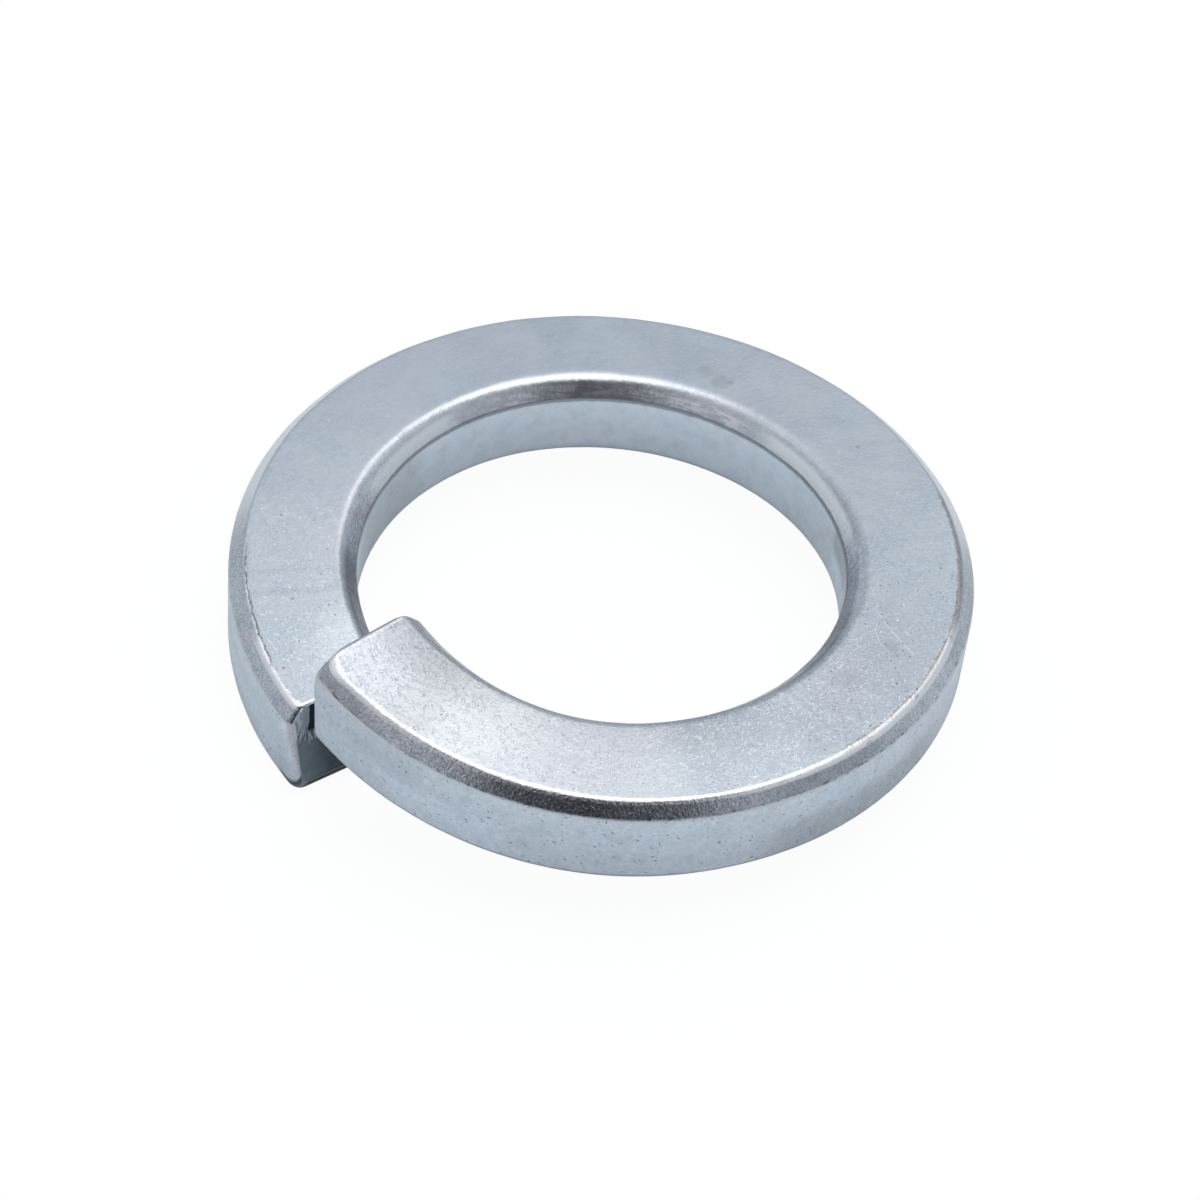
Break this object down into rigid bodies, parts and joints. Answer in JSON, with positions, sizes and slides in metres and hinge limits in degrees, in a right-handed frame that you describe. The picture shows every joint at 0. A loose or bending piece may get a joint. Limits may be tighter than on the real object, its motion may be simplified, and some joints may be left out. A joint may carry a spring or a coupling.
{
  "type": "spring lock washer",
  "caption": "Open helical lock washer of bevelled rectangular spring wire; its sheared ends spring apart and bite when a bolt and nut clamp it flat.",
  "frame": {"origin": "on the bore axis, level with the lowest point of the low end", "axes": "+Z along the bore axis, from the low end towards the high end; the split between the ends faces -Y; +X is on the side of the high end"},
  "size_m": [0.0465, 0.0464, 0.0121],
  "materials": {
    "zinc_plated_steel": "blue-grey bright zinc plate over spring steel, finely scuffed, with soft bevels and grey sheared ends"
  },
  "bodies": {
    "root": {"washer": "zinc_plated_steel"}
  },
  "joints": []
}
